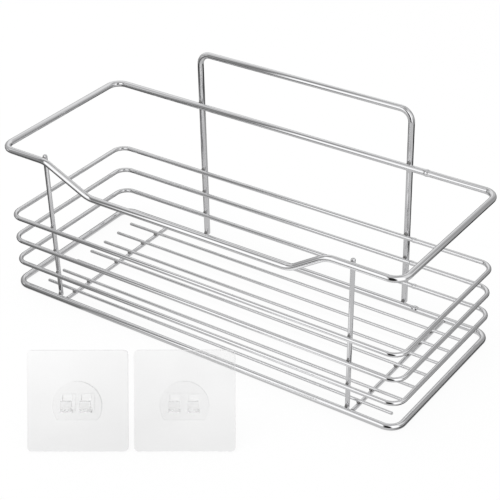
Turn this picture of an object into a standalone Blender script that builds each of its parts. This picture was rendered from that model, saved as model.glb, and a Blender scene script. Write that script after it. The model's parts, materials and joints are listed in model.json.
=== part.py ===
"""Hanging wire basket for a shower or vanity wall, with two clear adhesive hook pads.

Metres, +Z up. The basket stands on its bottom ring at z = 0, its back towards +Y.
The origin is under the middle of the bottom ring's back wire.
Every wire is bent from round stock and welded where it crosses the next one.
The two pads are loose pieces: each stands on its lower edge in front of the basket,
and leans back to show its face to someone who looks down at the set.
"""
import math

import bmesh
import bpy
from mathutils import Matrix, Vector

# Fits and facets
WELD_GAP = 0.0003
WIRE_SIDES = 12
BEND_STEP = math.radians(12)
ROUND_STEP = math.radians(15)
DOME_STEPS = 3
DOME_EDGE = math.radians(80)

# Basket outline, along the wires' centre lines
RIM_LENGTH = 0.320
RIM_DEPTH = 0.1266
RIM_HEIGHT = 0.1139
SIDE_RING_SPREAD = 0.0012
SIDE_RING_HEIGHTS = {"lower": 0.0209, "middle": 0.0393, "upper": 0.0583}
CORNER_RADIUS = 0.0095

# Wire diameters
RIM_WIRE = 0.0045
BASE_WIRE = 0.0045
SIDE_WIRE = 0.0032
HANGER_WIRE = 0.0045
UPRIGHT_WIRE = 0.0032
CROSS_WIRE = 0.0028
FLOOR_WIRE = 0.0022

# The dip in the front of the rim, measured in from the rim's two ends
DIP_LEFT_INSET = 0.0395
DIP_LEFT_RUN = 0.0371
DIP_RIGHT_INSET = 0.0527
DIP_RIGHT_RUN = 0.0272
DIP_DROP = 0.0174
DIP_BEND_RADIUS = 0.020

# Hanger frame: a U turned over, behind the rings
HANGER_WIDTH = 0.1744
HANGER_SHIFT = 0.0042
HANGER_HEIGHT = 0.1539
HANGER_BEND_RADIUS = 0.0085
LEG_FOOT = 0.0012

# Front uprights, inside the rings and in from the rim's ends
UPRIGHT_FOOT_INSET = 0.0384
UPRIGHT_TIP_INSET = 0.0360
UPRIGHT_TIP_RISE = 0.0028

# Floor: seven long wires on two cross wires, each cross wire a little right of an upright's foot
CROSS_ASIDE_LEFT = 0.0040
CROSS_ASIDE_RIGHT = 0.0018
FLOOR_COUNT = 7
FLOOR_END_LEFT = 0.0180
FLOOR_END_RIGHT = 0.0061
FLOOR_INSET_BACK = 0.0196
FLOOR_INSET_FRONT = 0.0110

# Hook pads: clear square sheets with an adhesive back
PAD_SIZE = 0.0635
PAD_CORNER = 0.0028
ADHESIVE_THICK = 0.0004
SHEET_THICK = 0.0009
PAD_TURN = math.radians(33.3)
PAD_LEAN = math.radians(31.6)
PAD_GAP = 0.0037
PAD_ROW_X = 0.0308
PAD_ROW_FRONT = 0.1059

# Hook plate: a round disc cut flat below, with two hooks side by side
DISC_DIAMETER = 0.0309
DISC_DROP = 0.00305
DISC_FLAT_DROP = 0.0088
DISC_THICK = 0.0016
BOSS_WIDTH = 0.0101
BOSS_GAP = 0.0018
HOOK_WIDTH = 0.0069
HOOK_DROP = 0.0039
HOOK_LIP = 0.0019
HOOK_LIP_RISE = 0.0033
HOOK_CLEARANCE = 0.0006
BOSS_HEIGHT = 0.0119
BOSS_PROUD = 0.0006
WINDOW_WIDTH = 0.0063
WINDOW_HEIGHT = 0.0036
WINDOW_HEAD = 0.0009
ROOT_DEPTH = 0.0008

# Places that follow from the sizes
RIM_END = RIM_LENGTH / 2
BASE_Z = BASE_WIRE / 2
HANGER_Y = BASE_WIRE / 2 + HANGER_WIRE / 2 + WELD_GAP
RIM_BACK = HANGER_Y - HANGER_WIRE / 2 - RIM_WIRE / 2 - WELD_GAP
SIDE_BACK = HANGER_Y - HANGER_WIRE / 2 - SIDE_WIRE / 2 - WELD_GAP
RIM_FRONT = RIM_BACK - RIM_DEPTH
UPRIGHT_Y = RIM_FRONT + RIM_WIRE / 2 + UPRIGHT_WIRE / 2 + WELD_GAP
SIDE_FRONT = UPRIGHT_Y - UPRIGHT_WIRE / 2 - SIDE_WIRE / 2 - WELD_GAP
BASE_FRONT = UPRIGHT_Y - UPRIGHT_WIRE / 2 - BASE_WIRE / 2 - WELD_GAP
BASE_BACK = 0.0
BASE_INSIDE = RIM_END - BASE_WIRE / 2
FLOOR_Z = BASE_Z + CROSS_WIRE / 2 + FLOOR_WIRE / 2 + WELD_GAP
FLOOR_PITCH = (BASE_BACK - BASE_FRONT - FLOOR_INSET_BACK - FLOOR_INSET_FRONT) / (FLOOR_COUNT - 1)
UPRIGHT_FOOT_X = RIM_END - UPRIGHT_FOOT_INSET
UPRIGHT_TIP_X = RIM_END - UPRIGHT_TIP_INSET
CROSS_REACH = UPRIGHT_WIRE / 2 + CROSS_WIRE / 2
PLATE_BACK = ADHESIVE_THICK + SHEET_THICK + 2 * WELD_GAP
HOOK_FACE = PLATE_BACK + DISC_THICK + BOSS_PROUD
HOOK_SLOT = HANGER_WIRE + HOOK_CLEARANCE
DISC_HEIGHT = PAD_SIZE / 2 - DISC_DROP
HOOK_BASE = DISC_HEIGHT - HOOK_DROP


def clear_scene():
    """Start from an empty file."""
    for item in list(bpy.data.objects):
        bpy.data.objects.remove(item, do_unlink=True)


def principled(name, colour, metallic, roughness, alpha=1.0, transmission=0.0):
    """A plain material with the piece's own colour and finish."""
    material = bpy.data.materials.new(name)
    material.use_nodes = True
    shader = material.node_tree.nodes["Principled BSDF"]
    shader.inputs["Base Color"].default_value = (*colour, 1.0)
    shader.inputs["Metallic"].default_value = metallic
    shader.inputs["Roughness"].default_value = roughness
    shader.inputs["Alpha"].default_value = alpha
    shader.inputs["Transmission Weight"].default_value = transmission
    return material


def polished_steel(name):
    """Bright polished wire."""
    return principled(name, (0.78, 0.78, 0.79), metallic=1.0, roughness=0.12)


def clear_plastic(name, roughness):
    """Water-clear plastic, a little grey."""
    colour = (0.90, 0.92, 0.93)
    return principled(name, colour, metallic=0.0, roughness=roughness, alpha=0.4, transmission=0.8)


def bend(before, corner, after, radius):
    """Points round one corner of a wire, bent at the given centre-line radius."""
    to_before = (before - corner).normalized()
    to_after = (after - corner).normalized()
    turn = math.pi - to_before.angle(to_after)
    centre = corner + (to_before + to_after).normalized() * radius / math.cos(turn / 2)
    reach = radius * math.tan(turn / 2)
    start = corner + to_before * reach - centre
    end = corner + to_after * reach - centre
    axis = start.cross(end)
    count = max(2, math.ceil(turn / BEND_STEP))
    return [centre + Matrix.Rotation(turn * i / count, 3, axis) @ start for i in range(count + 1)]


def bent_path(corners, radii, cyclic=False):
    """The centre line through the corners, each rounded by its own radius."""
    points = [Vector(corner) for corner in corners]
    count = len(points)
    path = []
    for i, corner in enumerate(points):
        if not cyclic and i in (0, count - 1):
            path.append(corner)
        else:
            path += bend(points[i - 1], corner, points[(i + 1) % count], radii[i])
    return path


def dome(end, inward, radius):
    """Points and width factors for a rounded wire end, tip first."""
    rows = []
    for i in range(DOME_STEPS):
        angle = DOME_EDGE * (DOME_STEPS - i) / DOME_STEPS
        rows.append((end + inward * radius * (1 - math.sin(angle)), math.cos(angle)))
    rows.append((end + inward * radius, 1.0))
    return rows


def wire(name, path, diameter, cyclic=False, domed_start=False, domed_end=False):
    """Round wire along a path, turned so that flat facets face its crossings."""
    curve = bpy.data.curves.new(name, "CURVE")
    curve.dimensions = "3D"
    curve.twist_mode = "Z_UP"
    curve.bevel_depth = diameter / 2 / math.cos(math.pi / WIRE_SIDES)
    curve.bevel_resolution = (WIRE_SIDES - 4) // 2
    curve.use_fill_caps = True
    rows = [(point, 1.0) for point in path]
    if domed_start:
        inward = (path[1] - path[0]).normalized()
        rows = dome(path[0], inward, diameter / 2) + rows[1:]
    if domed_end:
        inward = (path[-2] - path[-1]).normalized()
        rows = rows[:-1] + dome(path[-1], inward, diameter / 2)[::-1]
    spline = curve.splines.new("POLY")
    spline.points.add(len(rows) - 1)
    for point, (place, width) in zip(spline.points, rows):
        point.co = (*place, 1.0)
        point.radius = width
        point.tilt = math.pi / WIRE_SIDES
    spline.use_cyclic_u = cyclic
    spline.use_smooth = True
    curve.materials.append(polished_steel(name + "_steel"))
    item = bpy.data.objects.new(name, curve)
    bpy.context.collection.objects.link(item)
    return item


def ring(name, length, front, back, height, diameter):
    """A closed rectangular ring with rounded corners, level all round."""
    half = length / 2
    corners = [(-half, front, height), (half, front, height), (half, back, height), (-half, back, height)]
    path = bent_path(corners, [CORNER_RADIUS] * len(corners), cyclic=True)
    return wire(name, path, diameter, cyclic=True)


def top_rim():
    """The thick rim, whose front wire dips in the middle."""
    left = DIP_LEFT_INSET - RIM_END
    right = RIM_END - DIP_RIGHT_INSET
    low = RIM_HEIGHT - DIP_DROP
    corners = [
        (-RIM_END, RIM_FRONT, RIM_HEIGHT),
        (left, RIM_FRONT, RIM_HEIGHT),
        (left + DIP_LEFT_RUN, RIM_FRONT, low),
        (right - DIP_RIGHT_RUN, RIM_FRONT, low),
        (right, RIM_FRONT, RIM_HEIGHT),
        (RIM_END, RIM_FRONT, RIM_HEIGHT),
        (RIM_END, RIM_BACK, RIM_HEIGHT),
        (-RIM_END, RIM_BACK, RIM_HEIGHT),
    ]
    radii = [CORNER_RADIUS] + [DIP_BEND_RADIUS] * 4 + [CORNER_RADIUS] * 3
    return wire("top_rim", bent_path(corners, radii, cyclic=True), RIM_WIRE, cyclic=True)


def side_rings():
    """Three thinner rings round the sides."""
    for level, height in SIDE_RING_HEIGHTS.items():
        ring("side_ring_" + level, RIM_LENGTH + SIDE_RING_SPREAD, SIDE_FRONT, SIDE_BACK, height, SIDE_WIRE)


def bottom_ring():
    """The thick ring that the basket stands on."""
    ring("bottom_ring", RIM_LENGTH, BASE_FRONT, BASE_BACK, BASE_Z, BASE_WIRE)


def hanger_frame():
    """The U turned over that hooks on the pads, welded behind every ring."""
    left = HANGER_SHIFT - HANGER_WIDTH / 2
    right = HANGER_SHIFT + HANGER_WIDTH / 2
    corners = [
        (left, HANGER_Y, LEG_FOOT),
        (left, HANGER_Y, HANGER_HEIGHT),
        (right, HANGER_Y, HANGER_HEIGHT),
        (right, HANGER_Y, LEG_FOOT),
    ]
    path = bent_path(corners, [0, HANGER_BEND_RADIUS, HANGER_BEND_RADIUS, 0])
    frame = wire("hanger_frame", path, HANGER_WIRE, domed_start=True, domed_end=True)
    frame.data.twist_mode = "MINIMUM"


def front_uprights():
    """Two posts inside the rings, with rounded tips that stand above the rim."""
    for side, name in ((-1, "front_upright_left"), (1, "front_upright_right")):
        foot = Vector((side * UPRIGHT_FOOT_X, UPRIGHT_Y, LEG_FOOT))
        tip = Vector((side * UPRIGHT_TIP_X, UPRIGHT_Y, RIM_HEIGHT + UPRIGHT_TIP_RISE))
        wire(name, [foot, tip], UPRIGHT_WIRE, domed_start=True, domed_end=True)


def floor_grid():
    """Seven long wires lie on two cross wires that butt against the bottom ring."""
    front = BASE_FRONT + BASE_WIRE / 2 + WELD_GAP
    back = BASE_BACK - BASE_WIRE / 2 - WELD_GAP
    for x, name in (
        (CROSS_REACH + CROSS_ASIDE_LEFT - UPRIGHT_FOOT_X, "cross_wire_left"),
        (CROSS_REACH + CROSS_ASIDE_RIGHT + UPRIGHT_FOOT_X, "cross_wire_right"),
    ):
        wire(name, [Vector((x, front, BASE_Z)), Vector((x, back, BASE_Z))], CROSS_WIRE)
    for i in range(FLOOR_COUNT):
        y = BASE_BACK - FLOOR_INSET_BACK - FLOOR_PITCH * i
        left = Vector((FLOOR_END_LEFT - BASE_INSIDE, y, FLOOR_Z))
        right = Vector((BASE_INSIDE - FLOOR_END_RIGHT, y, FLOOR_Z))
        wire(f"floor_wire_{i + 1}", [left, right], FLOOR_WIRE, domed_start=True, domed_end=True)


def drawn_out(name, outline, travel):
    """A solid made by drawing a flat outline out along a vector."""
    mesh = bpy.data.meshes.new(name)
    shape = bmesh.new()
    face = shape.faces.new([shape.verts.new(point) for point in outline])
    made = bmesh.ops.extrude_face_region(shape, geom=[face])
    far = [item for item in made["geom"] if isinstance(item, bmesh.types.BMVert)]
    bmesh.ops.translate(shape, verts=far, vec=travel)
    bmesh.ops.recalc_face_normals(shape, faces=shape.faces)
    shape.to_mesh(mesh)
    shape.free()
    item = bpy.data.objects.new(name, mesh)
    bpy.context.collection.objects.link(item)
    return item


def slab(name, outline, back, thick):
    """A plate from an outline of (x, z) points, its back face at the given depth."""
    return drawn_out(name, [(x, -back, z) for x, z in outline], (0, -thick, 0))


def arc(centre, radius, start, end):
    """Points on an arc, in a plane with two axes, from one angle to another."""
    count = max(2, math.ceil(abs(end - start) / ROUND_STEP))
    angles = [start + (end - start) * i / count for i in range(count + 1)]
    return [(centre[0] + radius * math.cos(a), centre[1] + radius * math.sin(a)) for a in angles]


def rounded_square(size, radius):
    """The outline of a pad, standing on its lower edge."""
    inner = size / 2 - radius
    outline = []
    for quarter, (sx, sz) in enumerate(((1, 1), (-1, 1), (-1, -1), (1, -1))):
        centre = (sx * inner, size / 2 + sz * inner)
        outline += arc(centre, radius, quarter * math.pi / 2, (quarter + 1) * math.pi / 2)
    return outline


def disc_outline():
    """A circle cut off by a level line below its centre."""
    radius = DISC_DIAMETER / 2
    dip = math.asin(DISC_FLAT_DROP / radius)
    return arc((0, DISC_HEIGHT), radius, -dip, math.pi + dip)


def rectangle(x, low, width, height):
    """The outline of an upright rectangle that stands at one height."""
    left = x - width / 2
    right = x + width / 2
    return [(left, low), (right, low), (right, low + height), (left, low + height)]


def hook_profile():
    """The side view of a hook, as (depth, height): a J that holds the hanger bar."""
    inner = HOOK_SLOT / 2
    outer = inner + HOOK_LIP
    middle = HOOK_FACE + inner
    seat = HOOK_BASE + outer
    tip = seat + HOOK_LIP_RISE - HOOK_LIP / 2
    root = HOOK_FACE - ROOT_DEPTH
    profile = [(root, HOOK_BASE)]
    profile += arc((middle, seat), outer, -math.pi / 2, 0)
    profile += arc((middle + inner + HOOK_LIP / 2, tip), HOOK_LIP / 2, 0, math.pi)
    profile += arc((middle, seat), inner, 0, -math.pi)
    profile += [(root, seat)]
    return profile


def hook(name, x):
    """One hook, a little wider than the window above it."""
    side = x - HOOK_WIDTH / 2
    return drawn_out(name, [(side, -depth, height) for depth, height in hook_profile()], (HOOK_WIDTH, 0, 0))


def combine(target, tool, operation):
    """Join a tool to a piece, or cut it away, and keep the tool out of the model."""
    modifier = target.modifiers.new(tool.name, "BOOLEAN")
    modifier.operation = operation
    modifier.solver = "EXACT"
    modifier.object = tool
    tool.hide_render = True
    tool.display_type = "WIRE"


def hook_plate(name):
    """The disc with its two bosses and hooks, and a window above each hook."""
    plate = slab(name, disc_outline(), PLATE_BACK, DISC_THICK)
    window_low = HOOK_BASE + BOSS_HEIGHT - WINDOW_HEAD - WINDOW_HEIGHT
    tools = []
    for side, label in ((-1, "left"), (1, "right")):
        x = side * (BOSS_WIDTH + BOSS_GAP) / 2
        boss_outline = rectangle(x, HOOK_BASE, BOSS_WIDTH, BOSS_HEIGHT)
        boss_back = HOOK_FACE - BOSS_PROUD - ROOT_DEPTH
        boss = slab(f"{name}_{label}_boss", boss_outline, boss_back, BOSS_PROUD + ROOT_DEPTH)
        arm = hook(f"{name}_{label}_hook", x)
        window_outline = rectangle(x, window_low, WINDOW_WIDTH, WINDOW_HEIGHT)
        window = slab(f"{name}_{label}_window", window_outline, 0, HOOK_FACE + BOSS_PROUD)
        combine(plate, boss, "UNION")
        combine(plate, arm, "UNION")
        combine(plate, window, "DIFFERENCE")
        tools += [boss, arm, window]
    return plate, tools


def hook_pad(name, offset):
    """One pad of adhesive layer, clear sheet and hook plate, turned and leant back on its lower edge."""
    place = bpy.data.objects.new(name + "_place", None)
    bpy.context.collection.objects.link(place)
    along = Vector((math.cos(PAD_TURN), math.sin(PAD_TURN), 0))
    middle = Vector((PAD_ROW_X, BASE_FRONT - PAD_ROW_FRONT, 0))
    place.location = middle + along * offset
    place.rotation_euler = (-PAD_LEAN, 0, PAD_TURN)
    square = rounded_square(PAD_SIZE, PAD_CORNER)
    adhesive = slab(name + "_adhesive", square, 0, ADHESIVE_THICK)
    adhesive.data.materials.append(clear_plastic(name + "_gel", roughness=0.5))
    sheet = slab(name + "_sheet", square, ADHESIVE_THICK + WELD_GAP, SHEET_THICK)
    sheet.data.materials.append(clear_plastic(name + "_film", roughness=0.15))
    plate, tools = hook_plate(name + "_hook_plate")
    plate.data.materials.append(clear_plastic(name + "_hooks", roughness=0.08))
    for item in [adhesive, sheet, plate] + tools:
        item.parent = place


def main():
    clear_scene()
    top_rim()
    side_rings()
    bottom_ring()
    hanger_frame()
    front_uprights()
    floor_grid()
    hook_pad("pad_left", -(PAD_SIZE + PAD_GAP) / 2)
    hook_pad("pad_right", (PAD_SIZE + PAD_GAP) / 2)


main()
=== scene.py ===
import json
import math

import bmesh
import bpy
from mathutils import Matrix, Vector


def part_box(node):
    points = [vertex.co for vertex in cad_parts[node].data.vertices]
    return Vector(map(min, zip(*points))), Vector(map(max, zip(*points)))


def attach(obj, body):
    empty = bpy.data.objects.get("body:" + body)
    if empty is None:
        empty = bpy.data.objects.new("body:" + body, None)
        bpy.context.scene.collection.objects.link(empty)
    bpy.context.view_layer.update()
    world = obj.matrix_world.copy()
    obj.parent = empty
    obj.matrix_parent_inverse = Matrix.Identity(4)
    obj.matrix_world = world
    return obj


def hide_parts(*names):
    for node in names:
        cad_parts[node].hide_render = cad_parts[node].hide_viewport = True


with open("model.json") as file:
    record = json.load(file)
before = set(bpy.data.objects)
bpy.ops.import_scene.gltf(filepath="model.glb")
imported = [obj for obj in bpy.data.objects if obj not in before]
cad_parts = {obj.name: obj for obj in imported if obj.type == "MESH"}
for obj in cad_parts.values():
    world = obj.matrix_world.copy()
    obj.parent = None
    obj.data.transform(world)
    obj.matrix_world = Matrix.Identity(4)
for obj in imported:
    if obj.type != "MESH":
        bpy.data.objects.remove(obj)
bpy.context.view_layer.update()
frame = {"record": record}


# Top rim. One length of 4.5 mm steel wire, bent to a rectangle that dips in front, its two ends
# butt-welded behind, right of the hanger. The wire is drawn, bent cold and then polished bright.

RIM_WIRE = 0.0045
CORNER_BEND = 0.0095
DIP_BEND = 0.020
DIP_DROP = 0.0174
DIP_LEFT_INSET = 0.0395
DIP_LEFT_RUN = 0.0371
DIP_RIGHT_INSET = 0.0527
DIP_RIGHT_RUN = 0.0272
RIM_SEAM = 0.1072
SEAM_SHAPE = ((0.0, 1.14), (0.0006, 1.13), (0.0012, 1.06), (0.0020, 1.0))
THICK_SIDES = 32
BEND_STEPS = 14
RING_SPACING = 0.0015
STEEL = (0.80, 0.80, 0.81)
# Stained steel at the welds; on the wires it is also a painted shade where they cross.
STAINED_AND_SHADED_STEEL = (0.49, 0.485, 0.475)
THICK_ROUGHNESS = 0.045
LEAST_ROUGH = 0.7
MOST_ROUGH = 1.3
LINES_ALONG = 22.0
LINES_ROUND = 5.0
LINE_STRENGTH = 0.12
LINE_HEIGHT = 0.00006
HAZE_SCALE = 70.0
HAZE_SHARE = 0.5
WELD_DULLING = 0.16


def add(tree, kind, inputs=None, **settings):
    """One node, with its settings, and a value or a link for each of its inputs."""
    node = tree.nodes.new(kind)
    for name, value in settings.items():
        setattr(node, name, value)
    for key, value in (inputs or {}).items():
        if isinstance(value, bpy.types.NodeSocket):
            tree.links.new(value, node.inputs[key])
        else:
            node.inputs[key].default_value = value
    return node


def math_node(tree, operation, *values):
    """The result of a Math node."""
    return add(tree, "ShaderNodeMath", dict(enumerate(values)), operation=operation).outputs[0]


def noise_node(tree, place, scale, detail):
    """The value of a Noise Texture."""
    inputs = {"Vector": place, "Scale": scale, "Detail": detail}
    return add(tree, "ShaderNodeTexNoise", inputs).outputs[0]


def spread_out(tree, value, low, high):
    """A value of 0 to 1, spread from low to high."""
    inputs = {"Value": value, "To Min": low, "To Max": high}
    return add(tree, "ShaderNodeMapRange", inputs).outputs[0]


def named_field(tree, geometry, name, value, kind):
    """Geometry with a named attribute stored on its points."""
    node = add(tree, "GeometryNodeStoreNamedAttribute", {"Name": name}, data_type=kind, domain="POINT")
    tree.links.new(geometry, node.inputs["Geometry"])
    tree.links.new(value, node.inputs["Value"])
    return node.outputs[0]


def new_tree(name, inputs):
    """A geometry node tree with named inputs, and the sockets that give them."""
    tree = bpy.data.node_groups.new(name, "GeometryNodeTree")
    tree.interface.new_socket("Geometry", in_out="INPUT", socket_type="NodeSocketGeometry")
    for label, kind in inputs:
        tree.interface.new_socket(label, in_out="INPUT", socket_type="NodeSocket" + kind)
    tree.interface.new_socket("Geometry", in_out="OUTPUT", socket_type="NodeSocketGeometry")
    return tree, add(tree, "NodeGroupInput").outputs


def close_tree(tree, geometry, material):
    """Ends a tree with smooth faces, real geometry and its material."""
    smooth = add(tree, "GeometryNodeSetShadeSmooth", {"Geometry": geometry})
    real = add(tree, "GeometryNodeRealizeInstances", {"Geometry": smooth.outputs[0]})
    dressed = add(tree, "GeometryNodeSetMaterial", {"Geometry": real.outputs[0], "Material": material})
    add(tree, "NodeGroupOutput", {"Geometry": dressed.outputs[0]})


def make_wire_tree():
    """Rounds the corners of a chain of straight runs, and draws round wire along it."""
    tree, given = new_tree("bent_wire", [
        ("Diameter", "Float"), ("Sides", "Int"), ("Bend Steps", "Int"),
        ("Ring Spacing", "Float"), ("Steel", "Material"),
    ])
    place = add(tree, "GeometryNodeInputPosition").outputs[0]
    bend = add(tree, "GeometryNodeInputNamedAttribute", {"Name": "bend"}, data_type="FLOAT").outputs[0]
    width = add(tree, "GeometryNodeInputNamedAttribute", {"Name": "width"}, data_type="FLOAT").outputs[0]
    path = add(tree, "GeometryNodeMeshToCurve", {"Mesh": given["Geometry"]}).outputs[0]
    path = add(tree, "GeometryNodeFilletCurve", {
        "Curve": path, "Count": given["Bend Steps"], "Radius": bend,
    }, mode="POLY").outputs[0]
    point = add(tree, "GeometryNodeInputIndex").outputs[0]
    onward = add(tree, "GeometryNodeOffsetPointInCurve", {"Point Index": point, "Offset": 1})
    ahead = add(tree, "GeometryNodeFieldAtIndex", data_type="FLOAT_VECTOR", domain="POINT")
    tree.links.new(onward.outputs["Point Index"], ahead.inputs["Index"])
    tree.links.new(place, ahead.inputs["Value"])
    stride = add(tree, "ShaderNodeVectorMath", {0: place, 1: ahead.outputs[0]}, operation="DISTANCE")
    cuts = math_node(tree, "DIVIDE", stride.outputs["Value"], given["Ring Spacing"])
    path = add(tree, "GeometryNodeSubdivideCurve", {"Curve": path, "Cuts": cuts}).outputs[0]
    length = add(tree, "GeometryNodeSplineParameter").outputs["Length"]
    path = named_field(tree, path, "along", length, "FLOAT")
    half = math_node(tree, "MULTIPLY", given["Diameter"], 0.5)
    circle = add(tree, "GeometryNodeCurvePrimitiveCircle", {"Resolution": given["Sides"], "Radius": half})
    outward = add(tree, "ShaderNodeVectorMath", {0: place}, operation="NORMALIZE").outputs[0]
    section = named_field(tree, circle.outputs[0], "side", outward, "FLOAT_VECTOR")
    wire = add(tree, "GeometryNodeCurveToMesh", {
        "Curve": path, "Profile Curve": section, "Scale": width, "Fill Caps": True,
    })
    close_tree(tree, wire.outputs[0], given["Steel"])
    return tree


def worked(item, tree, values):
    """Runs a node tree on an object once, and leaves the result as its plain mesh."""
    modifier = item.modifiers.new(tree.name, "NODES")
    modifier.node_group = tree
    for socket in tree.interface.items_tree:
        if socket.in_out == "INPUT" and socket.name in values:
            modifier[socket.identifier] = values[socket.name]
    shown = item.evaluated_get(bpy.context.evaluated_depsgraph_get())
    mesh = bpy.data.meshes.new_from_object(shown)
    item.modifiers.clear()
    item.data = mesh


def new_object(name, points, links=(), faces=()):
    """A mesh object in the scene, from its points, their links and their faces."""
    mesh = bpy.data.meshes.new(name)
    mesh.from_pydata(points, links, faces)
    item = bpy.data.objects.new(name, mesh)
    bpy.context.collection.objects.link(item)
    return item


def new_material(name):
    """A material with nodes: its tree and its shader."""
    material = bpy.data.materials.new(name)
    material.use_nodes = True
    return material, material.node_tree, material.node_tree.nodes["Principled BSDF"]


def mixed_colour(tree, factor, first, second):
    """A colour between two, by a factor. The node takes colours at its sockets 6 and 7."""
    inputs = {0: factor, 6: (*first, 1), 7: (*second, 1)}
    return add(tree, "ShaderNodeMix", inputs, data_type="RGBA").outputs[2]


def add_bump(tree, shader, height, strength, distance):
    """Gives a shader's surface its fine relief."""
    bump = add(tree, "ShaderNodeBump", {"Height": height, "Strength": strength, "Distance": distance})
    tree.links.new(bump.outputs[0], shader.inputs["Normal"])


def polished_steel(name, roughness):
    """Drawn and polished steel: fine lines along the wire, hazy patches, and dull, darker metal at a
    weld, which is heat tint and also a painted shade where the wires cross.
    """
    material, tree, shader = new_material(name)
    shader.inputs["Metallic"].default_value = 1.0
    along = add(tree, "ShaderNodeAttribute", attribute_name="along").outputs["Fac"]
    side = add(tree, "ShaderNodeAttribute", attribute_name="side").outputs["Vector"]
    heat = add(tree, "ShaderNodeAttribute", attribute_name="heat").outputs["Fac"]
    stretched = add(tree, "ShaderNodeCombineXYZ", {
        "Z": math_node(tree, "MULTIPLY", along, LINES_ALONG),
    }).outputs[0]
    wrapped = add(tree, "ShaderNodeVectorMath", {
        0: side, 1: (LINES_ROUND, LINES_ROUND, LINES_ROUND), 2: stretched,
    }, operation="MULTIPLY_ADD").outputs[0]
    lines = noise_node(tree, wrapped, 1.0, detail=3.0)
    place = add(tree, "ShaderNodeTexCoord").outputs["Object"]
    haze = noise_node(tree, place, HAZE_SCALE, detail=2.0)
    lined = spread_out(tree, lines, roughness * LEAST_ROUGH, roughness * MOST_ROUGH)
    hazy = math_node(tree, "MULTIPLY_ADD", haze, roughness * HAZE_SHARE, lined)
    dulled = math_node(tree, "MULTIPLY_ADD", heat, WELD_DULLING, hazy)
    tree.links.new(dulled, shader.inputs["Roughness"])
    # Darker steel near a weld: part heat tint, part painted shade where the wires cross.
    tree.links.new(mixed_colour(tree, heat, STEEL, STAINED_AND_SHADED_STEEL), shader.inputs["Base Color"])
    add_bump(tree, shader, lines, LINE_STRENGTH, LINE_HEIGHT)
    return material


wire_tree = make_wire_tree()
thick_gauge = (THICK_SIDES, polished_steel("polished_thick_wire", THICK_ROUGHNESS), "thick_wire")
wires = {}


def bent_wire(node, rows, closed, diameter, gauge):
    """A finished wire from rows of point, bend radius and width, in the place of its node."""
    sides, steel, slot = gauge
    count = len(rows)
    links = [(i, i + 1) for i in range(count - 1)] + [(count - 1, 0)] * closed
    item = new_object(node + "_wire", [row[0] for row in rows], links)
    for label, column in (("bend", 1), ("width", 2)):
        layer = item.data.attributes.new(label, "FLOAT", "POINT")
        layer.data.foreach_set("value", [row[column] for row in rows])
    worked(item, wire_tree, {
        "Diameter": diameter, "Sides": sides, "Bend Steps": BEND_STEPS,
        "Ring Spacing": RING_SPACING, "Steel": steel,
    })
    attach(item, "basket")
    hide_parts(node)
    wires[node] = item


def middle_line(node, diameter):
    """The lowest and the highest corner of a wire's centre line."""
    low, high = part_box(node)
    inset = Vector((diameter, diameter, diameter)) / 2
    return low + inset, high - inset


def seam_rows(seam, direction, lift):
    """Rows for one half of a seam's bead. A lift of half the wire raises it until its foot is level."""
    return [
        (seam + Vector((direction * away, 0, lift * (width - 1))), 0, width) for away, width in SEAM_SHAPE
    ]


def seamed_ring(corners, bends, seam, lift=0.0):
    """Rows for a closed ring with a low bead, its seam, on its back wire."""
    middle = [(corner, bend, 1.0) for corner, bend in zip(corners, bends)]
    return seam_rows(seam, -1, lift) + middle + seam_rows(seam, 1, lift)[:0:-1]


low, high = middle_line("top_rim", RIM_WIRE)
dip_left = low.x + DIP_LEFT_INSET
dip_right = high.x - DIP_RIGHT_INSET
rim_corners = [
    Vector((low.x, high.y, high.z)),
    Vector((low.x, low.y, high.z)),
    Vector((dip_left, low.y, high.z)),
    Vector((dip_left + DIP_LEFT_RUN, low.y, high.z - DIP_DROP)),
    Vector((dip_right - DIP_RIGHT_RUN, low.y, high.z - DIP_DROP)),
    Vector((dip_right, low.y, high.z)),
    Vector((high.x, low.y, high.z)),
    Vector((high.x, high.y, high.z)),
]
rim_bends = [CORNER_BEND] * 2 + [DIP_BEND] * 4 + [CORNER_BEND] * 2
rim_rows = seamed_ring(rim_corners, rim_bends, Vector((RIM_SEAM, high.y, high.z)))
bent_wire("top_rim", rim_rows, True, RIM_WIRE, thick_gauge)


# Side rings and bottom ring. Three rings of 3.2 mm wire go round the sides, and one of 4.5 mm
# wire round the bottom, which the basket stands on. Each is bent and butt-welded as the rim is,
# and the bottom ring's seam is dressed flat below.

SIDE_WIRE = 0.0032
BASE_WIRE = 0.0045
SIDE_SEAMS = {"upper": 0.0996, "middle": 0.0984, "lower": 0.1012}
BASE_SEAM = 0.1030
THIN_SIDES = 24
THIN_ROUGHNESS = 0.055

thin_gauge = (THIN_SIDES, polished_steel("polished_thin_wire", THIN_ROUGHNESS), "thin_wire")


def level_ring(node, diameter, seam, gauge, lift=0.0):
    """A rectangular ring with rounded corners, level all round."""
    low, high = middle_line(node, diameter)
    corners = [Vector((x, y, low.z)) for x, y in (
        (low.x, high.y), (low.x, low.y), (high.x, low.y), (high.x, high.y),
    )]
    rows = seamed_ring(corners, [CORNER_BEND] * 4, Vector((seam, high.y, low.z)), lift)
    bent_wire(node, rows, True, diameter, gauge)


for level, seam in SIDE_SEAMS.items():
    level_ring("side_ring_" + level, SIDE_WIRE, seam, thin_gauge)
level_ring("bottom_ring", BASE_WIRE, BASE_SEAM, thick_gauge, lift=BASE_WIRE / 2)


# Hanger frame. A U of 4.5 mm wire turned over, welded behind the five rings. Its top bar is what
# drops into the hooks on the wall, and its feet are rounded off level with the bottom ring.

HANGER_WIRE = 0.0045
HANGER_BEND = 0.0085
DOME_STEPS = 6
DOME_EDGE = math.radians(82)


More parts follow.
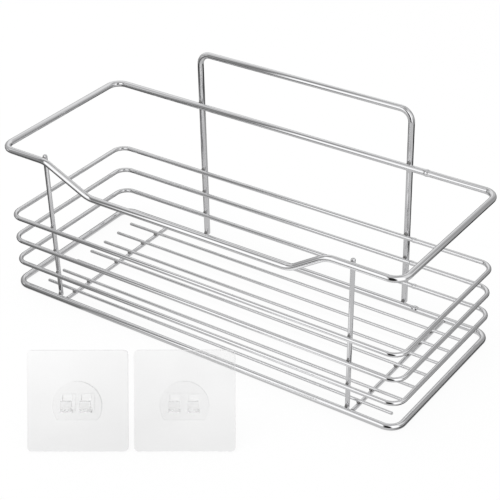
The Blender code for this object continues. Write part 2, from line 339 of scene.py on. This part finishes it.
def rounded_end(tip, inward, diameter):
    """Rows for the rounded end of a wire, from its tip inwards."""
    rows = []
    for step in range(DOME_STEPS, -1, -1):
        angle = DOME_EDGE * step / DOME_STEPS
        depth = diameter / 2 * (1 - math.sin(angle))
        rows.append((tip + inward * depth, 0, math.cos(angle)))
    return rows


def rounded_ends(first, last, diameter):
    """Rows for both rounded ends of a straight wire."""
    inward = (last - first).normalized()
    return rounded_end(first, inward, diameter) + rounded_end(last, -inward, diameter)[::-1]


low, high = middle_line("hanger_frame", HANGER_WIRE)
up = Vector((0, 0, 1))
foot_left = Vector((low.x, low.y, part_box("hanger_frame")[0].z))
foot_right = Vector((high.x, low.y, foot_left.z))
hanger_rows = rounded_end(foot_left, up, HANGER_WIRE)
hanger_rows += [(Vector((x, low.y, high.z)), HANGER_BEND, 1.0) for x in (low.x, high.x)]
hanger_rows += rounded_end(foot_right, up, HANGER_WIRE)[::-1]
bent_wire("hanger_frame", hanger_rows, False, HANGER_WIRE, thick_gauge)


# Front uprights. Two posts of 3.2 mm wire, welded to the inside of the rings in front, where the
# rim starts to dip. They lean out a little, and their rounded tips stand above the rim.

UPRIGHT_WIRE = 0.0032

uprights = {}
for name, side in (("front_upright_left", -1), ("front_upright_right", 1)):
    low, high = middle_line(name, UPRIGHT_WIRE)
    bottom, top = (corner.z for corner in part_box(name))
    inner, outer = (high.x, low.x) if side < 0 else (low.x, high.x)
    uprights[name] = (Vector((inner, low.y, bottom)), Vector((outer, low.y, top)))
    bent_wire(name, rounded_ends(*uprights[name], UPRIGHT_WIRE), False, UPRIGHT_WIRE, thin_gauge)


# Floor. Two cross wires of 2.8 mm, cut to fit between the long sides of the bottom ring, carry
# seven floor wires of 2.2 mm that lie on them with free, rounded ends.

CROSS_WIRE = 0.0028
FLOOR_WIRE = 0.0022
FLOOR_COUNT = 7
CROSS_WIRES = ("cross_wire_left", "cross_wire_right")

for name in CROSS_WIRES:
    low = middle_line(name, CROSS_WIRE)[0]
    front, back = (corner.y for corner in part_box(name))
    ends = [(Vector((low.x, y, low.z)), 0, 1.0) for y in (front, back)]
    bent_wire(name, ends, False, CROSS_WIRE, thin_gauge)

for i in range(FLOOR_COUNT):
    name = f"floor_wire_{i + 1}"
    low = middle_line(name, FLOOR_WIRE)[0]
    left, right = (corner.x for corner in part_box(name))
    rows = rounded_ends(Vector((left, low.y, low.z)), Vector((right, low.y, low.z)), FLOOR_WIRE)
    bent_wire(name, rows, False, FLOOR_WIRE, thin_gauge)


# Welds. Every crossing is resistance-welded: the wires are pressed together hot, and a little
# metal is squeezed out round the joint, which leaves a bead and dull, straw-grey steel beside it.
# That darker steel beside each weld is partly a painted shade, for the dark reflection where the wires
# cross.

BEAD_WIDTH = 0.30
BEAD_DEPTH = 0.0009
BEAD_SPILL = 0.0005
BEAD_LIFT = 0.0007
BEAD_LUMPS = 0.00015
BEAD_SIDES = 16
BEAD_RINGS = 10
LUMP_SCALE = 900.0
BUTT_WIDTH = 0.6
BUTT_HEIGHT = 0.44
TINT_AND_SHADE_REACH = 0.0042
BURNT_STEEL = (0.10, 0.10, 0.10)
WELD_ROUGHNESS = (0.2, 0.4)
GRAIN_SCALE = 1400.0
GRAIN_STRENGTH = 0.3
GRAIN_HEIGHT = 0.0001

welds = []


def ring_welds(node, diameter):
    """The welds of one ring with the hanger's legs behind and the uprights in front.

    On the rim the front ones stay below the top of the wire.
    """
    low, high = middle_line(node, diameter)
    hanger_low, hanger_high = middle_line("hanger_frame", HANGER_WIRE)
    height = high.z + BEAD_LIFT
    tall = diameter / 2 + BEAD_SPILL
    sunk = BEAD_LIFT if node == "top_rim" else 0
    behind = (high.y + diameter / 2 + hanger_low.y - HANGER_WIRE / 2) / 2
    spread = Vector((HANGER_WIRE * BEAD_WIDTH, BEAD_DEPTH, tall))
    for x in (hanger_low.x, hanger_high.x):
        welds.append((Vector((x, behind, height)), spread))
    spread = Vector((UPRIGHT_WIRE * BEAD_WIDTH, BEAD_DEPTH, tall - sunk))
    inside = (low.y + diameter / 2 + uprights["front_upright_left"][0].y - UPRIGHT_WIRE / 2) / 2
    for foot, tip in uprights.values():
        rise = (high.z - foot.z) / (tip.z - foot.z)
        welds.append((Vector((foot.lerp(tip, rise).x, inside, height - sunk)), spread))


ring_welds("top_rim", RIM_WIRE)
for level in SIDE_SEAMS:
    ring_welds("side_ring_" + level, SIDE_WIRE)
ring_welds("bottom_ring", BASE_WIRE)

crossing_spread = Vector((CROSS_WIRE / 2 + BEAD_SPILL, FLOOR_WIRE / 2 + BEAD_SPILL, BEAD_DEPTH))
butt_spread = Vector((CROSS_WIRE * BUTT_WIDTH, BEAD_DEPTH, CROSS_WIRE * BUTT_HEIGHT))
for name in CROSS_WIRES:
    low = middle_line(name, CROSS_WIRE)[0]
    for i in range(FLOOR_COUNT):
        floor_low = middle_line(f"floor_wire_{i + 1}", FLOOR_WIRE)[0]
        touch = (low.z + CROSS_WIRE / 2 + floor_low.z - FLOOR_WIRE / 2) / 2
        welds.append((Vector((low.x, floor_low.y, touch)), crossing_spread))
    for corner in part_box(name):
        welds.append((Vector((low.x, corner.y, low.z)), butt_spread))


def make_bead_tree():
    """Puts a lumpy bead, of its own size, on each point."""
    tree, given = new_tree("weld_beads", [("Lumps", "Float"), ("Steel", "Material")])
    size = add(tree, "GeometryNodeInputNamedAttribute", {"Name": "size"}, data_type="FLOAT_VECTOR")
    ball = add(tree, "GeometryNodeMeshUVSphere", {
        "Segments": BEAD_SIDES, "Rings": BEAD_RINGS, "Radius": 1.0,
    }).outputs[0]
    beads = add(tree, "GeometryNodeInstanceOnPoints", {
        "Points": given["Geometry"], "Instance": ball, "Scale": size.outputs[0],
    }).outputs[0]
    real = add(tree, "GeometryNodeRealizeInstances", {"Geometry": beads}).outputs[0]
    place = add(tree, "GeometryNodeInputPosition").outputs[0]
    normal = add(tree, "GeometryNodeInputNormal").outputs[0]
    lump = noise_node(tree, place, LUMP_SCALE, detail=1.0)
    swell = math_node(tree, "MULTIPLY", math_node(tree, "SUBTRACT", lump, 0.5), given["Lumps"])
    push = add(tree, "ShaderNodeVectorMath", {0: normal, "Scale": swell}, operation="SCALE").outputs[0]
    shaped = add(tree, "GeometryNodeSetPosition", {"Geometry": real, "Offset": push}).outputs[0]
    close_tree(tree, shaped, given["Steel"])
    return tree


def weld_steel():
    """Squeezed-out metal, matt and a little stained."""
    material, tree, shader = new_material("weld_metal")
    shader.inputs["Metallic"].default_value = 1.0
    place = add(tree, "ShaderNodeTexCoord").outputs["Object"]
    grain = noise_node(tree, place, GRAIN_SCALE, detail=2.0)
    tree.links.new(mixed_colour(tree, grain, STAINED_AND_SHADED_STEEL, BURNT_STEEL), shader.inputs["Base Color"])
    tree.links.new(spread_out(tree, grain, *WELD_ROUGHNESS), shader.inputs["Roughness"])
    add_bump(tree, shader, grain, GRAIN_STRENGTH, GRAIN_HEIGHT)
    return material


beads = new_object("weld_beads", [place for place, spread in welds])
layer = beads.data.attributes.new("size", "FLOAT_VECTOR", "POINT")
layer.data.foreach_set("vector", [value for place, spread in welds for value in spread])
worked(beads, make_bead_tree(), {"Lumps": BEAD_LUMPS, "Steel": weld_steel()})
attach(beads, "basket")


def stain_and_shade(item, places, reach):
    """Marks how near each point of a wire is to the nearest weld, from 0 to 1."""
    values = []
    for vertex in item.data.vertices:
        nearest = min((vertex.co - place).length for place in places)
        share = min(max(1 - nearest / reach, 0), 1)
        values.append(share * share * (3 - 2 * share))
    layer = item.data.attributes.new("heat", "FLOAT", "POINT")
    layer.data.foreach_set("value", values)


# Each wire darkens near the welds: a heat stain, and a painted shade where the wires cross.
for item in wires.values():
    stain_and_shade(item, [place for place, spread in welds], TINT_AND_SHADE_REACH)


# Hook pads. Each is a stiff clear sheet with a sticky gel layer behind, and a moulded clear disc
# on its face that has two hooks for the hanger's top bar, with a window above each.

PAD_SIZE = 0.0635
PAD_CORNER = 0.0028
ADHESIVE_THICK = 0.0004
SHEET_THICK = 0.0009
LAYER_GAP = 0.0003
EDGE_ROUND = 0.00022
EDGE_STEPS = 3
EDGE_ANGLE = math.radians(40)
CREASE_ANGLE = math.radians(35)
FLAT_AREA = 0.000012
DISC_DIAMETER = 0.0309
DISC_DROP = 0.00305
DISC_FLAT_DROP = 0.0088
DISC_THICK = 0.0016
BOSS_WIDTH = 0.0101
BOSS_GAP = 0.0018
HOOK_WIDTH = 0.0069
HOOK_DROP = 0.0039
HOOK_SLOT = 0.0051
HOOK_LIP = 0.0019
HOOK_LIP_RISE = 0.0033
BOSS_HEIGHT = 0.0119
BOSS_PROUD = 0.0006
WINDOW_WIDTH = 0.0063
WINDOW_HEIGHT = 0.0036
WINDOW_HEAD = 0.0009
ROOT_DEPTH = 0.0008
ARC_STEP = math.radians(6)
SHEET_BACK = ADHESIVE_THICK + LAYER_GAP
PLATE_BACK = ADHESIVE_THICK + SHEET_THICK + 2 * LAYER_GAP
HOOK_FACE = PLATE_BACK + DISC_THICK + BOSS_PROUD
HOOK_BASE = -DISC_DROP - HOOK_DROP

PAD_TOP = 0.054
# Painted shade on the pads, from little at the top to most at the foot.
PAINTED_SHADE_AT_TOP = -0.12
PAINTED_SHADE_AT_FOOT = 0.9
CLOUD_SCALE = 45.0
CLOUD_SHARE = 0.35
LEAST_SCUFFED = 0.6
MOST_SCUFFED = 1.4
RIPPLE_SCALE = 160.0
RIPPLE_STRENGTH = 0.08
RIPPLE_HEIGHT = 0.0003
CLEAR = (1.0, 1.0, 1.0)
GEL_SHADE = (0.91, 0.91, 0.91)
SHEET_SHADE = (0.97, 0.97, 0.97)
MOULDED_CLEAR = (0.99, 0.99, 0.99)
MOULDED_SHADE = (0.965, 0.965, 0.965)
GEL_ROUGHNESS = 0.04
SHEET_ROUGHNESS = 0.06
MOULDED_ROUGHNESS = 0.05
GEL_IOR = 1.41
PLASTIC_IOR = 1.49


def arc(centre, radius, start, end):
    """Points on an arc from one angle to another."""
    count = max(2, math.ceil(abs(end - start) / ARC_STEP))
    angles = [start + (end - start) * i / count for i in range(count + 1)]
    return [(centre[0] + radius * math.cos(a), centre[1] + radius * math.sin(a)) for a in angles]


def drawn_out(name, outline, travel):
    """A solid made by drawing a flat outline out along a vector."""
    shape = bmesh.new()
    face = shape.faces.new([shape.verts.new(point) for point in outline])
    made = bmesh.ops.extrude_face_region(shape, geom=[face])
    far = [part for part in made["geom"] if isinstance(part, bmesh.types.BMVert)]
    bmesh.ops.translate(shape, verts=far, vec=travel)
    bmesh.ops.recalc_face_normals(shape, faces=shape.faces)
    item = new_object(name, [])
    shape.to_mesh(item.data)
    shape.free()
    return item


def slab(name, outline, back, thick):
    """A plate from an outline of (x, z) points, its back face at the given depth."""
    return drawn_out(name, [(x, -back, z) for x, z in outline], (0, -thick, 0))


def rounded_square(size, radius):
    """The outline of a pad, round its own middle."""
    inner = size / 2 - radius
    outline = []
    for quarter, (sx, sz) in enumerate(((1, 1), (-1, 1), (-1, -1), (1, -1))):
        start = quarter * math.pi / 2
        outline += arc((sx * inner, sz * inner), radius, start, start + math.pi / 2)
    return outline


def upright_rectangle(x, low, width, height):
    """The outline of a rectangle, from its middle and its lower edge."""
    left, right = x - width / 2, x + width / 2
    return [(left, low), (right, low), (right, low + height), (left, low + height)]


def hook_profile():
    """The side view of a hook, as (depth, height): a J that holds the hanger's bar."""
    inner = HOOK_SLOT / 2
    outer = inner + HOOK_LIP
    middle = HOOK_FACE + inner
    seat = HOOK_BASE + outer
    tip = seat + HOOK_LIP_RISE - HOOK_LIP / 2
    root = HOOK_FACE - ROOT_DEPTH
    outline = [(root, HOOK_BASE)]
    outline += arc((middle, seat), outer, -math.pi / 2, 0)
    outline += arc((middle + inner + HOOK_LIP / 2, tip), HOOK_LIP / 2, 0, math.pi)
    outline += arc((middle, seat), inner, 0, -math.pi)
    return outline + [(root, seat)]


def finished_solid(item, tools, place, material):
    """Joins or cuts a solid by its tools, rounds its edges, and sets it down in its place.

    Its broad faces are shaded flat, because a shade that runs over from the rounded edges
    would bend what shows through them.
    """
    for tool, operation in tools:
        modifier = item.modifiers.new(tool.name, "BOOLEAN")
        modifier.operation = operation
        modifier.solver = "EXACT"
        modifier.object = tool
    edges = item.modifiers.new("edges", "BEVEL")
    edges.width = EDGE_ROUND
    edges.segments = EDGE_STEPS
    edges.limit_method = "ANGLE"
    edges.angle_limit = EDGE_ANGLE
    edges.use_clamp_overlap = True
    shown = item.evaluated_get(bpy.context.evaluated_depsgraph_get())
    mesh = bpy.data.meshes.new_from_object(shown)
    item.modifiers.clear()
    item.data = mesh
    for tool, operation in tools:
        bpy.data.objects.remove(tool)
    mesh.transform(place)
    mesh.shade_smooth()
    mesh.set_sharp_from_angle(angle=CREASE_ANGLE)
    for face in mesh.polygons:
        face.use_smooth = face.area < FLAT_AREA
    mesh.materials.clear()
    mesh.materials.append(material)


def hook_plate(name):
    """The disc, and the tools that give it two bosses with hooks and windows."""
    radius = DISC_DIAMETER / 2
    dip = math.asin(DISC_FLAT_DROP / radius)
    plate = slab(name, arc((0, -DISC_DROP), radius, -dip, math.pi + dip), PLATE_BACK, DISC_THICK)
    window_low = HOOK_BASE + BOSS_HEIGHT - WINDOW_HEAD - WINDOW_HEIGHT
    apart = (BOSS_WIDTH + BOSS_GAP) / 2
    tools = []
    for x in (-apart, apart):
        boss_outline = upright_rectangle(x, HOOK_BASE, BOSS_WIDTH, BOSS_HEIGHT)
        boss = slab("boss", boss_outline, HOOK_FACE - BOSS_PROUD - ROOT_DEPTH, BOSS_PROUD + ROOT_DEPTH)
        arm_outline = [(x - HOOK_WIDTH / 2, -depth, height) for depth, height in hook_profile()]
        arm = drawn_out("arm", arm_outline, (HOOK_WIDTH, 0, 0))
        window_outline = upright_rectangle(x, window_low, WINDOW_WIDTH, WINDOW_HEIGHT)
        window = slab("window", window_outline, 0, HOOK_FACE + BOSS_PROUD)
        tools += [(boss, "UNION"), (arm, "UNION"), (window, "DIFFERENCE")]
    return plate, tools


def clear_plastic(name, colour, shade, roughness, ior):
    """Clear plastic, greyer in cloudy patches and greyer lower down by a painted shade, with a faintly
    uneven surface.
    """
    material, tree, shader = new_material(name)
    shader.inputs["Transmission Weight"].default_value = 1.0
    shader.inputs["IOR"].default_value = ior
    place = add(tree, "ShaderNodeTexCoord").outputs["Object"]
    cloud = noise_node(tree, place, CLOUD_SCALE, detail=3.0)
    # Painted shade: the plastic turns greyer towards the pad's foot, for the darker surroundings it would
    # mirror there.
    height = add(tree, "ShaderNodeSeparateXYZ", {0: place}).outputs["Z"]
    painted_low_shade = add(tree, "ShaderNodeMapRange", {
        "Value": height, "From Min": PAD_TOP, "From Max": 0.0, "To Min": PAINTED_SHADE_AT_TOP, "To Max": PAINTED_SHADE_AT_FOOT,
    }).outputs[0]
    cloud_and_painted_shade = math_node(tree, "MULTIPLY_ADD", cloud, CLOUD_SHARE, painted_low_shade)
    tree.links.new(mixed_colour(tree, cloud_and_painted_shade, colour, shade), shader.inputs["Base Color"])
    rough = spread_out(tree, cloud, roughness * LEAST_SCUFFED, roughness * MOST_SCUFFED)
    tree.links.new(rough, shader.inputs["Roughness"])
    ripple = noise_node(tree, place, RIPPLE_SCALE, detail=1.0)
    add_bump(tree, shader, ripple, RIPPLE_STRENGTH, RIPPLE_HEIGHT)
    return material


gel = clear_plastic("sticky_gel", CLEAR, GEL_SHADE, GEL_ROUGHNESS, GEL_IOR)
film = clear_plastic("clear_sheet", CLEAR, SHEET_SHADE, SHEET_ROUGHNESS, PLASTIC_IOR)
moulding = clear_plastic("clear_moulding", MOULDED_CLEAR, MOULDED_SHADE, MOULDED_ROUGHNESS, PLASTIC_IOR)

for body in ("pad_left", "pad_right"):
    mount = next(mount for mount in frame["record"]["mounts"] if mount["name"] == body + "_back")
    back = Vector(mount["axis"]).normalized()
    across = back.cross(Vector((0, 0, 1))).normalized()
    turned = Matrix((across, back, across.cross(back))).transposed()
    place = Matrix.Translation(mount["pos_m"]) @ turned.to_4x4()
    square = rounded_square(PAD_SIZE, PAD_CORNER)
    plate, plate_tools = hook_plate(body + "_hooks")
    backing = slab(body + "_gel", square, 0, ADHESIVE_THICK)
    sheet = slab(body + "_clear_sheet", square, SHEET_BACK, SHEET_THICK)
    for item, tools, material, node, slot in (
        (backing, [], gel, "_adhesive", "adhesive_gel"),
        (sheet, [], film, "_sheet", "clear_sheet"),
        (plate, plate_tools, moulding, "_hook_plate", "clear_hook"),
    ):
        finished_solid(item, tools, place, material)
        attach(item, body)
        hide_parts(body + node)


# Floor and studio. A plain pale floor that keeps a soft shadow, under a big soft lamp. What the
# polished wire mirrors of it is a painted reflection, a glow that only reflections see: dark, with
# pools of painted light round the basket and painted shadows of the wires beside them, each patch
# given here by its left, right, front and back limits, the softness of its edges and its tone.

FLOOR_SIZE = 12.0
FLOOR_COLOUR = (0.93, 0.93, 0.93, 1)
FLOOR_ROUGHNESS = 0.9
WHITE_SHARE = 0.93
ROOM_LEVEL = 0.8
LAMP_PLACE = Vector((-0.5, -0.3, 1.8))
LAMP_SIZE = 1.6
LAMP_POWER = 14.0
PAINTED_DARK_BEYOND = 0.02
# Pools of painted light, and painted shadows of the wires, on the floor's reflection.
PAINTED_FLOOR_LIGHT_AND_SHADOWS = (
    (-0.48, -0.20, -0.90, -0.60, 0.06, 0.76),
    (-0.32, -0.10, -0.26, -0.06, 0.04, 0.22),
    (-0.30, -0.16, -0.06, 0.10, 0.02, 0.12),
    (-0.32, -0.10, -0.40, -0.20, 0.03, 0.09),
    (-0.09, 0.08, 0.06, 0.23, 0.04, 0.44),
    (-0.135, 0.45, -0.34, 0.06, 0.04, 0.61),
    (-0.30, -0.06, -0.175, -0.135, 0.02, 0.22),
    # A painted shadow of the bottom ring's right side, on the floor beside it.
    (0.161, 0.19, -0.13, 0.12, 0.008, 0.04),
    (-0.170, -0.150, -0.125, 0.0, 0.006, 0.61),
    (0.03, 0.10, -0.23, -0.14, 0.012, 1.0),
    (-0.06, 0.0, -0.33, -0.28, 0.012, 0.33),
    (-0.175, -0.10, -0.142, -0.130, 0.005, 0.09),
    (-0.24, -0.19, -0.20, -0.14, 0.010, 0.04),
)


def ray_kinds(tree, *kinds):
    """1 where a ray is of any of the given kinds."""
    path = add(tree, "ShaderNodeLightPath")
    total = path.outputs[kinds[0]]
    for kind in kinds[1:]:
        total = math_node(tree, "MAXIMUM", total, path.outputs[kind])
    return total


def fade(tree, value, start, end):
    """0 before start, 1 past end, and smooth between."""
    return add(tree, "ShaderNodeMapRange", {
        "Value": value, "From Min": start, "From Max": end,
    }, interpolation_type="SMOOTHSTEP").outputs[0]


def span(tree, value, low, high, soft):
    """1 between two limits, with soft edges."""
    rise = fade(tree, value, low - soft, low + soft)
    return math_node(tree, "MULTIPLY", rise, fade(tree, value, high + soft, high - soft))


def patched(tree, tone, across, along, patches):
    """A tone with soft rectangles laid on it: each has four limits, a softness and its own tone."""
    for left, right, low, high, soft, shade in patches:
        inside_across = span(tree, across, left, right, soft)
        inside_along = span(tree, along, low, high, soft)
        share = math_node(tree, "MULTIPLY", inside_across, inside_along)
        tone = add(tree, "ShaderNodeMix", {0: share, 2: tone, 3: shade}).outputs[0]
    return tone


def shown_as(tree, share, usual, special):
    """One shader, and in its place another one for a share of the rays."""
    return add(tree, "ShaderNodeMixShader", {0: share, 1: usual, 2: special}).outputs[0]


half = FLOOR_SIZE / 2
corners = [(-half, -half, 0), (half, -half, 0), (half, half, 0), (-half, half, 0)]
floor = new_object("floor", corners, faces=[(0, 1, 2, 3)])
floor_paint, tree, shader = new_material("pale_floor")
shader.inputs["Base Color"].default_value = FLOOR_COLOUR
shader.inputs["Roughness"].default_value = FLOOR_ROUGHNESS
shader.inputs["Specular IOR Level"].default_value = 0.0
white = add(tree, "ShaderNodeEmission", {"Color": (1, 1, 1, 1), "Strength": 1.0}).outputs[0]
seen = math_node(tree, "MULTIPLY", ray_kinds(tree, "Is Camera Ray", "Is Transmission Ray"), WHITE_SHARE)
place = add(tree, "ShaderNodeTexCoord").outputs["Object"]
place = add(tree, "ShaderNodeSeparateXYZ", {0: place}).outputs
# Painted reflection: the wires mirror this glow of painted light and shadow, not the lit floor.
tone = patched(tree, PAINTED_DARK_BEYOND, place["X"], place["Y"], PAINTED_FLOOR_LIGHT_AND_SHADOWS)
painted_reflection = add(tree, "ShaderNodeEmission", {"Strength": tone}).outputs[0]
paint = shown_as(tree, ray_kinds(tree, "Is Glossy Ray"), shader.outputs[0], painted_reflection)
paint = shown_as(tree, seen, paint, white)
tree.links.new(paint, tree.nodes["Material Output"].inputs["Surface"])
floor.data.materials.append(floor_paint)

lamp = bpy.data.objects.new("soft_lamp", bpy.data.lights.new("soft_lamp", "AREA"))
bpy.context.collection.objects.link(lamp)
lamp.data.shape = "RECTANGLE"
lamp.data.size = LAMP_SIZE
lamp.data.size_y = LAMP_SIZE
lamp.data.energy = LAMP_POWER
lamp.location = LAMP_PLACE
lamp.rotation_euler = LAMP_PLACE.to_track_quat("Z", "Y").to_euler()
lamp.visible_glossy = False

world = bpy.data.worlds.new("studio")
bpy.context.scene.world = world
world.use_nodes = True
tree = world.node_tree
plain = ray_kinds(tree, "Is Camera Ray", "Is Transmission Ray", "Is Glossy Ray")
light = math_node(tree, "MULTIPLY_ADD", plain, 1.0 - ROOM_LEVEL, ROOM_LEVEL)
tree.links.new(light, tree.nodes["Background"].inputs["Strength"])
tree.nodes["Background"].inputs["Color"].default_value = (1, 1, 1, 1)


# Light tent. A round tent of pale cloth, lit unevenly, which only reflections see. It has a white
# panel in front and one at its right, with a dark gap between. A tone of the cloth goes with its
# height in degrees. A card has its limits round the tent, those in height, a softness and a tone.

TENT_CENTRE = (0, -0.06, 0.06)
TENT_RADIUS = 0.42
TENT_SIDES = 64
TENT_RINGS = 32
RAMP_DEGREES = 180
CLOTH_TONES = (
    (-12, 0.40), (2, 0.30), (12, 0.44), (24, 0.87), (45, 0.90), (55, 0.72), (64, 0.40), (72, 0.40),
    (82, 0.80), (90, 0.87),
)
CARDS = (
    (122, 154, -14, 46, 5, 0.38),
    (150, 184, 20, 60, 8, 0.57),
    (-96, -60, 22, 52, 8, 0.54),
    (-70, -54, 0, 34, 4, 0.87),
    (-57, -37, -4, 90, 3, 0.24),
    (-37, 14, -5, 50, 3, 1.30),
    (-37, 14, -20, 12, 5, 0.77),
    (-31, -3, 58, 76, 6, 0.87),
    (14, 50, -14, 50, 8, 0.02),
    (51, 80, -5, 50, 5, 1.30),
    (-37, -20, -14, -2, 3, 0.24),
    (-110, -68, 16, 26, 3, 0.48),
    (-70, -45, 10, 24, 3, 0.36),
)
CARD_LEAN = 0.5
LEAN_FROM = 30.0

bpy.ops.mesh.primitive_uv_sphere_add(
    segments=TENT_SIDES, ring_count=TENT_RINGS, radius=TENT_RADIUS, location=TENT_CENTRE,
)
tent = bpy.context.object
tent.name = "light_tent"
for kind in ("camera", "diffuse", "transmission", "shadow", "volume_scatter"):
    setattr(tent, "visible_" + kind, False)
cloth, tree, shader = new_material("tent_cloth")
tree.nodes.remove(shader)
place = add(tree, "ShaderNodeTexCoord").outputs["Object"]
outward = add(tree, "ShaderNodeVectorMath", {0: place}, operation="NORMALIZE").outputs[0]
place = add(tree, "ShaderNodeSeparateXYZ", {0: outward}).outputs
forward = math_node(tree, "MULTIPLY", place["Y"], -1.0)
turn = math_node(tree, "DEGREES", math_node(tree, "ARCTAN2", place["X"], forward))
climb = math_node(tree, "DEGREES", math_node(tree, "ARCSINE", place["Z"]))
above = math_node(tree, "MAXIMUM", math_node(tree, "SUBTRACT", climb, LEAN_FROM), 0.0)
leaned = math_node(tree, "MULTIPLY_ADD", above, CARD_LEAN, turn)
share = math_node(tree, "MULTIPLY_ADD", climb, 1 / RAMP_DEGREES, 0.5)
ramp_node = add(tree, "ShaderNodeValToRGB", {"Fac": share})
ramp = ramp_node.color_ramp
while len(ramp.elements) < len(CLOTH_TONES):
    ramp.elements.new(0.5)
for element, (height, tone) in zip(ramp.elements, CLOTH_TONES):
    element.position = 0.5 + height / RAMP_DEGREES
    element.color = (tone, tone, tone, 1)
tone = patched(tree, ramp_node.outputs[0], leaned, climb, CARDS)
glow = add(tree, "ShaderNodeEmission", {"Strength": tone}).outputs[0]
clear = add(tree, "ShaderNodeBsdfTransparent").outputs[0]
cloth_seen = shown_as(tree, ray_kinds(tree, "Is Transmission Ray"), glow, clear)
tree.links.new(cloth_seen, tree.nodes["Material Output"].inputs["Surface"])
tent.data.materials.append(cloth)


# Camera. It looks down on the basket from its right front, through a long lens, as the
# photograph does.

CAMERA_PLACE = (0.51825, -0.78573, 0.59791)
CAMERA_TURN = math.radians(35.374)
CAMERA_DOWN = math.radians(31.637)
CAMERA_ROLL = math.radians(-1.312)
CAMERA_LENS = 107.72

camera = bpy.data.objects.new("camera", bpy.data.cameras.new("camera"))
bpy.context.collection.objects.link(camera)
camera.data.lens = CAMERA_LENS
aim = Matrix.Rotation(CAMERA_TURN, 3, "Z") @ Matrix.Rotation(math.pi / 2 - CAMERA_DOWN, 3, "X")
aim = aim @ Matrix.Rotation(CAMERA_ROLL, 3, "Z")
camera.location = CAMERA_PLACE
camera.rotation_euler = aim.to_euler()
bpy.context.scene.camera = camera
bpy.context.scene.view_settings.view_transform = "Standard"
